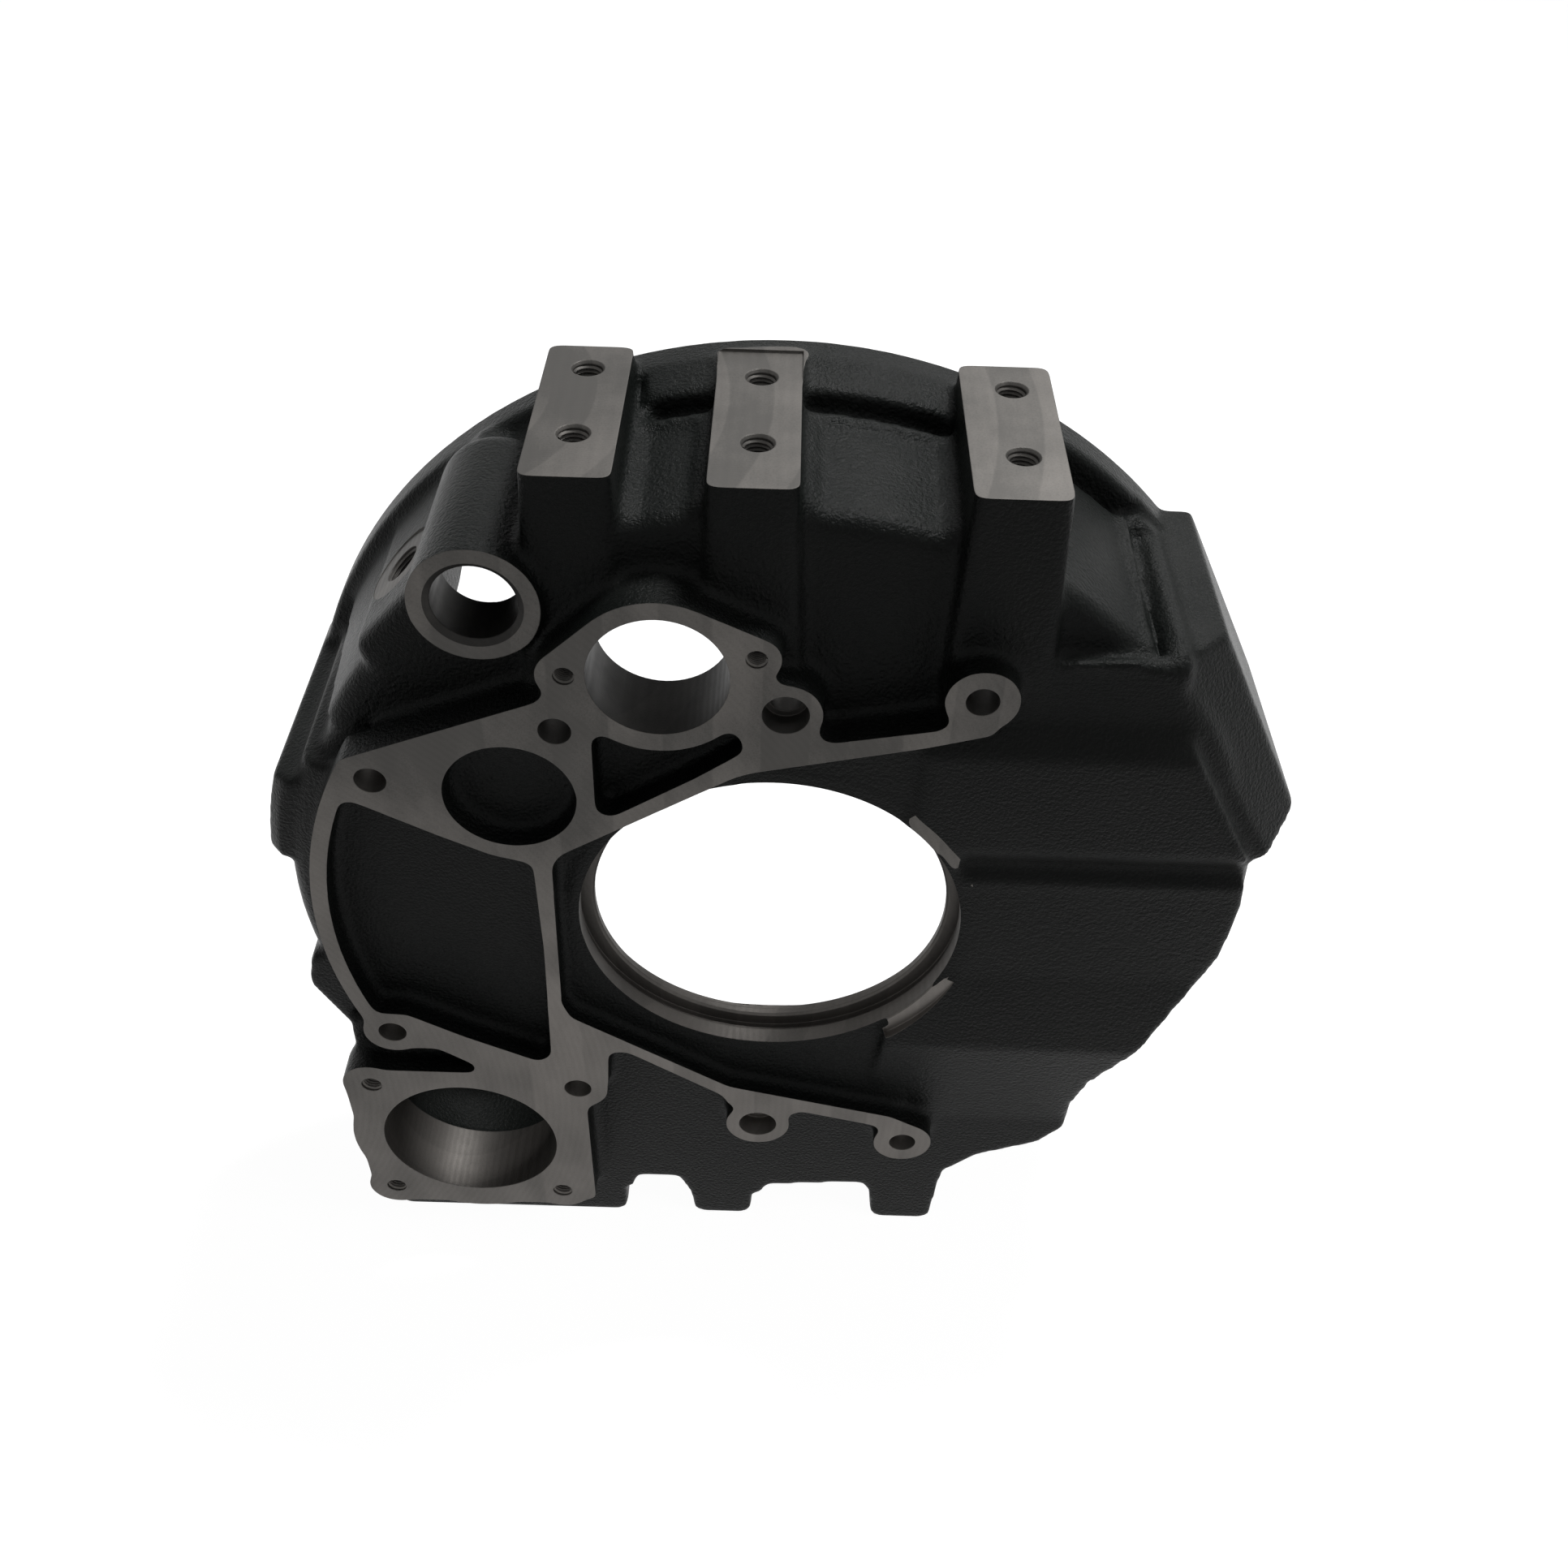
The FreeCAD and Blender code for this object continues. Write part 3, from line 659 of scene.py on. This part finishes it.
def tube_bar():
    """The barring tube's bore with the chamfer at its mouth."""
    tube = MOUNTS["tube_bore"]
    radius = tube["dims"]["r_mm"] / 1000.0
    length = tube["dims"]["length_mm"] / 1000.0
    x, y, z = tube["pos_m"]
    mouth = y - length / 2.0
    profile = [(0.0, -0.008), (radius + 0.010, -0.008), (radius, 0.0), (radius, length), (0.0, length)]
    return turned_bar("tube_bar", profile, (x, mouth, z), 64)


def way_in():
    """Behind its wall the barring hole opens down into the bell, to the flywheel's teeth."""
    tube = MOUNTS["tube_bore"]
    radius = tube["dims"]["r_mm"] / 1000.0 - 0.0002
    x, y, z = tube["pos_m"]
    near = y - tube["dims"]["length_mm"] / 2000.0 + TUBE_WALL
    return block("way_in", (x - radius, near, z - 0.034), (x + radius, near + 0.040, z))


def drawn_line(name, points):
    """A line through points: one corner of a plane, pulled out from point to point."""
    start = Vector(points[0])
    bpy.ops.object.select_all(action="DESELECT")
    bpy.ops.mesh.primitive_plane_add(size=0.002, location=start)
    line = bpy.context.object
    line.name = name
    apply_place(line)
    only(line)
    bpy.ops.object.mode_set(mode="EDIT")
    bpy.ops.mesh.select_mode(type="VERT")
    bpy.ops.mesh.select_all(action="SELECT")
    bpy.ops.mesh.merge(type="CENTER")
    for point in points[1:]:
        bpy.ops.mesh.extrude_region_move(TRANSFORM_OT_translate={"value": Vector(point) - start})
        start = Vector(point)
    bpy.ops.object.mode_set(mode="OBJECT")
    return line


def turned_bar(name, profile, centre, sides):
    """A profile of (radius, depth) corners turned about a line along Y through a centre."""
    x, start, z = centre
    bar = drawn_line(name, [(x + r, start + y, z) for r, y in profile])
    only(bar)
    bpy.ops.object.mode_set(mode="EDIT")
    bpy.ops.mesh.select_all(action="SELECT")
    bpy.ops.mesh.spin(
        steps=sides, angle=2.0 * math.pi, center=centre, axis=(0, 1, 0), use_normal_flip=False,
    )
    bpy.ops.mesh.select_all(action="SELECT")
    bpy.ops.mesh.remove_doubles(threshold=1e-6)
    bpy.ops.mesh.normals_make_consistent(inside=False)
    bpy.ops.object.mode_set(mode="OBJECT")
    return bar


def bore_holes(piece, sizes, iron):
    """Bores and drills every round hole that the record names."""
    first, second = [], []
    for name, mount in MOUNTS.items():
        if mount["kind"] not in ("bore", "threaded_hole") or name in SPECIAL:
            continue
        through = name.startswith(THROUGH)
        bar = bore(name, sizes, 0.012 if through else 0.0)
        (second if name.startswith("dowel_") else first).append(bar)
    second.append(bore("pilot_bore", sizes))
    cut(piece, way_in(), piece.data.materials[0])
    # the drive and barring bores get the darker copy of the iron: painted shade in deep bores
    dark = [tube_bar(), bore("drive_bore", sizes, 0.012)]
    cut(piece, joined("dark_bores", dark), bpy.data.materials["oily_bores"])
    cut(piece, joined("bores", first), iron)
    # the crank and starter bores get the darker copy of the iron: painted shade on the bore walls
    turned = [crank_bar(sizes), bore("starter_bore", sizes, 0.012)]
    cut(piece, joined("turned_bores", turned), bpy.data.materials["turned_iron"])
    for facing in lug_facings(sizes):
        cut(piece, facing, iron)
    cut(piece, joined("seats", second), iron)


def drill_patterns(piece, sizes, iron):
    """Drills the pads' and the flange's tapped holes, with the pads' chamfers."""
    drills = []
    for name in ("pad_left_taps", "pad_centre_taps", "pad_right_taps"):
        mount = MOUNTS[name]
        reach = mount["dims"]["spacing_y_mm"] / 2000.0
        radius = mount["dims"]["hole_r_mm"] / 1000.0
        for side in (-1.0, 1.0):
            centre = Vector(mount["pos_m"]) + Vector((0.0, side * reach, 0.0))
            drills.append(countersunk(centre, radius + THREAD_DEPTH, 0.0145))
    cut(piece, joined("pad_drills", drills), iron)
    flange = MOUNTS["flange_bolts"]
    ring = flange["dims"]["pcd_mm"] / 2000.0
    count = flange["dims"]["count"]
    radius = flange["dims"]["hole_r_mm"] / 1000.0
    drills = []
    for k in range(count):
        t = math.radians(15.0 + 360.0 * k / count)
        centre = (ring * math.cos(t), REAR, ring * math.sin(t))
        drills.append(round_bar("tap", centre, (0, 1, 0), radius, -0.015, 0.004, 32))
    cut(piece, joined("flange_drills", drills), iron)


def countersunk(centre, radius, depth):
    """A drill with a chamfer at its mouth, standing on the pads' plane."""
    top = PAD_TOP + 0.002
    chamfer = radius + 0.0022
    bpy.ops.object.select_all(action="DESELECT")
    bpy.ops.mesh.primitive_cylinder_add(
        vertices=48, radius=radius, depth=top - (PAD_TOP - depth),
        location=(centre.x, centre.y, (top + PAD_TOP - depth) / 2.0),
    )
    drill = bpy.context.object
    apply_place(drill)
    only(drill)
    bpy.ops.object.mode_set(mode="EDIT")
    bpy.ops.mesh.select_all(action="SELECT")
    bpy.ops.mesh.bisect(plane_co=(0, 0, PAD_TOP - 0.0012), plane_no=(0, 0, 1))
    bpy.ops.object.mode_set(mode="OBJECT")
    pick_points(drill, lambda p: p.z > top - 1e-5)
    wider = chamfer / radius
    bpy.ops.transform.resize(value=(wider, wider, 1.0), center_override=(centre.x, centre.y, top))
    bpy.ops.object.mode_set(mode="OBJECT")
    return drill


def face_ends(piece, sizes, iron):
    """Faces off the barring tube's end and the flat round the sensor port."""
    tube = MOUNTS["tube_bore"]
    half = tube["dims"]["length_mm"] / 2000.0
    end = Vector(tube["pos_m"]) + Vector(tube["axis"]) * (half + 0.002)
    cut(piece, round_bar("tube_mill", end, tube["axis"], 0.028, 0.0, sizes.stock * 1.5), iron)
    port = MOUNTS["sensor_port"]
    half = port["dims"]["length_mm"] / 2000.0
    end = Vector(port["pos_m"]) + Vector(port["axis"]) * half
    cut(piece, round_bar("port_mill", end, port["axis"], 0.0185, -0.0006, 0.006), iron)


class HOUSING_OT_casting(bpy.types.Operator):
    """Makes the casting, mills and bores it, and paints it"""

    bl_idname = "housing.casting"
    bl_label = "Casting"

    def execute(self, context):
        sizes = context.scene.housing_sizes
        finish = context.scene.housing_finish
        iron = milled_iron(finish)
        # painted light: a copy of the milled iron at 1.10 brightness for the up-facing pads, which also
        # offsets the painted shade towards the top
        tops = milled_iron(finish, "milled_pads", 1.10)
        # painted shade: a copy of the milled iron at 0.30 brightness for the deep drive and barring
        # bores
        milled_iron(finish, "oily_bores", 0.30)
        # painted shade: a copy of the milled iron at 0.62 brightness for the crank and starter bores'
        # walls
        milled_iron(finish, "turned_iron", 0.62)
        skin = cast_skin(sizes)
        skin.data.materials.append(satin_black(finish))
        mill_flats(skin, sizes, iron, tops)
        face_ends(skin, sizes, iron)
        bore_holes(skin, sizes, iron)
        drill_patterns(skin, sizes, iron)
        only(skin)
        bpy.ops.object.shade_smooth_by_angle(angle=math.radians(32.0))
        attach(skin, "root")
        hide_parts("housing")
        return {"FINISHED"}


class HOUSING_OT_threads(bpy.types.Operator):
    """Winds the threads in the pads' tapped holes"""

    bl_idname = "housing.threads"
    bl_label = "Threads"

    def execute(self, context):
        sizes = context.scene.housing_sizes
        coils = []
        for name in ("pad_left_taps", "pad_centre_taps", "pad_right_taps"):
            mount = MOUNTS[name]
            reach = mount["dims"]["spacing_y_mm"] / 2000.0
            radius = mount["dims"]["hole_r_mm"] / 1000.0
            for side in (-1.0, 1.0):
                centre = Vector(mount["pos_m"]) + Vector((0.0, side * reach, 0.0))
                centre.z = PAD_TOP - 0.0016
                coils.append(thread_coil(centre, (0, 0, 1), radius, sizes.pitch, 6))
        for name, mount in MOUNTS.items():
            if mount["kind"] == "threaded_hole":
                half = mount["dims"]["length_mm"] / 2000.0
                radius = mount["dims"]["r_mm"] / 1000.0
                mouth = Vector(mount["pos_m"]) + Vector(mount["axis"]) * (half - 0.0008)
                pitch = 0.00125 if radius < 0.004 else 0.0015
                coils.append(thread_coil(mouth, mount["axis"], radius, pitch, 7))
        threads = joined("pad_threads", coils)
        threads.data.materials.clear()
        threads.data.materials.append(bpy.data.materials["milled_iron"])
        only(threads)
        bpy.ops.object.shade_smooth_by_angle(angle=math.radians(40.0))
        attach(threads, "root")
        return {"FINISHED"}


def thread_coil(mouth, axis, radius, pitch, turns):
    """A helical ridge inside a tapped hole, wound with the Screw modifier."""
    root = radius + THREAD_DEPTH * 1.1
    crest = (pitch * 0.45, pitch * 0.55)
    profile = [(root, 0, 0.0), (radius, 0, crest[0]), (radius, 0, crest[1]), (root, 0, pitch)]
    coil = drawn_line("thread", profile)
    bake_modifier(
        coil, "SCREW", angle=2.0 * math.pi, screw_offset=pitch, iterations=turns, steps=36,
        render_steps=36, axis="Z", use_merge_vertices=True, merge_threshold=1e-6,
    )
    axis = Vector(axis)
    coil.rotation_euler = axis.to_track_quat("Z", "Y").to_euler()
    coil.location = mouth - axis * pitch * (turns + 1)
    apply_place(coil)
    only(coil)
    bpy.ops.object.mode_set(mode="EDIT")
    bpy.ops.mesh.select_all(action="SELECT")
    bpy.ops.mesh.remove_doubles(threshold=1e-6)
    bpy.ops.mesh.normals_make_consistent(inside=True)
    bpy.ops.object.mode_set(mode="OBJECT")
    return coil


class HOUSING_OT_stage(bpy.types.Operator):
    """Sets the floor, the lights and the camera"""

    bl_idname = "housing.stage"
    bl_label = "Stage"

    def execute(self, context):
        stage = context.scene.housing_stage
        bpy.ops.object.select_all(action="DESELECT")
        bpy.ops.mesh.primitive_plane_add(size=stage.floor_size, location=(0.0, 0.0, FLOOR))
        floor = bpy.context.object
        floor.name = "floor"
        apply_place(floor)
        floor.data.materials.append(backdrop_white())
        soft_light("key", (0.42, 0.45, 1.40), (0.0, -0.05, 0.0), 0.42, stage.key_power)
        soft_light("side", (1.05, -0.45, 0.75), (0.0, -0.05, 0.0), 0.5, stage.fill_power)
        room_light(stage.room)
        take_camera()
        context.scene.view_settings.view_transform = "Standard"
        return {"FINISHED"}


def soft_light(name, place, target, size, power):
    """A square soft box that looks at a point."""
    bpy.ops.object.light_add(type="AREA", location=place)
    lamp = bpy.context.object
    lamp.name = name
    lamp.data.size = size
    lamp.data.energy = power
    aim = Vector(target) - Vector(place)
    lamp.rotation_euler = aim.to_track_quat("-Z", "Y").to_euler()


def room_light(strength):
    """Even light from all round; the camera and clear rays see white."""
    sheet = Sheet(bpy.data.worlds.new("room"))
    bpy.context.scene.world = sheet.owner
    light = sheet.node("ShaderNodeBackground", {}, {"Strength": strength})
    white = sheet.node("ShaderNodeBackground")
    shader = sheet.node("ShaderNodeMixShader", {}, {0: sheet.seen_directly(), 1: light, 2: white})
    sheet.node("ShaderNodeOutputWorld", {}, {"Surface": shader})


def take_camera():
    """The photograph's camera."""
    bpy.ops.object.camera_add(location=EYE)
    camera = bpy.context.object
    camera.name = "camera"
    right, up = Vector(CAMERA_RIGHT), Vector(CAMERA_UP)
    back = right.cross(up)
    turn = Matrix((right, up, back)).transposed()
    camera.rotation_euler = turn.to_euler()
    camera.data.sensor_width = SENSOR
    camera.data.lens = SENSOR * FOCAL_PIXELS / IMAGE
    camera.data.clip_end = 40.0
    bpy.context.scene.camera = camera


class HOUSING_PT_panel(bpy.types.Panel):
    """Lists the steps that make the housing."""

    bl_idname = "HOUSING_PT_panel"
    bl_label = "Flywheel housing"
    bl_space_type = "VIEW_3D"
    bl_region_type = "UI"
    bl_category = "Housing"

    def draw(self, context):
        layout = self.layout
        scene = context.scene
        for group in (scene.housing_sizes, scene.housing_finish, scene.housing_stage):
            for key in group.__annotations__:
                layout.prop(group, key)
        for step in (HOUSING_OT_stage, HOUSING_OT_casting, HOUSING_OT_threads):
            layout.operator(step.bl_idname)


CLASSES = (
    HousingSizes, HousingFinish, StageSettings, HOUSING_OT_stage, HOUSING_OT_casting,
    HOUSING_OT_threads, HOUSING_PT_panel,
)


def register():
    for item in CLASSES:
        bpy.utils.register_class(item)
    bpy.types.Scene.housing_sizes = bpy.props.PointerProperty(type=HousingSizes)
    bpy.types.Scene.housing_finish = bpy.props.PointerProperty(type=HousingFinish)
    bpy.types.Scene.housing_stage = bpy.props.PointerProperty(type=StageSettings)


def unregister():
    del bpy.types.Scene.housing_sizes
    del bpy.types.Scene.housing_finish
    del bpy.types.Scene.housing_stage
    for item in reversed(CLASSES):
        bpy.utils.unregister_class(item)


def main():
    register()
    bpy.ops.housing.stage()
    bpy.ops.housing.casting()
    bpy.ops.housing.threads()


if __name__ == "__main__":
    main()
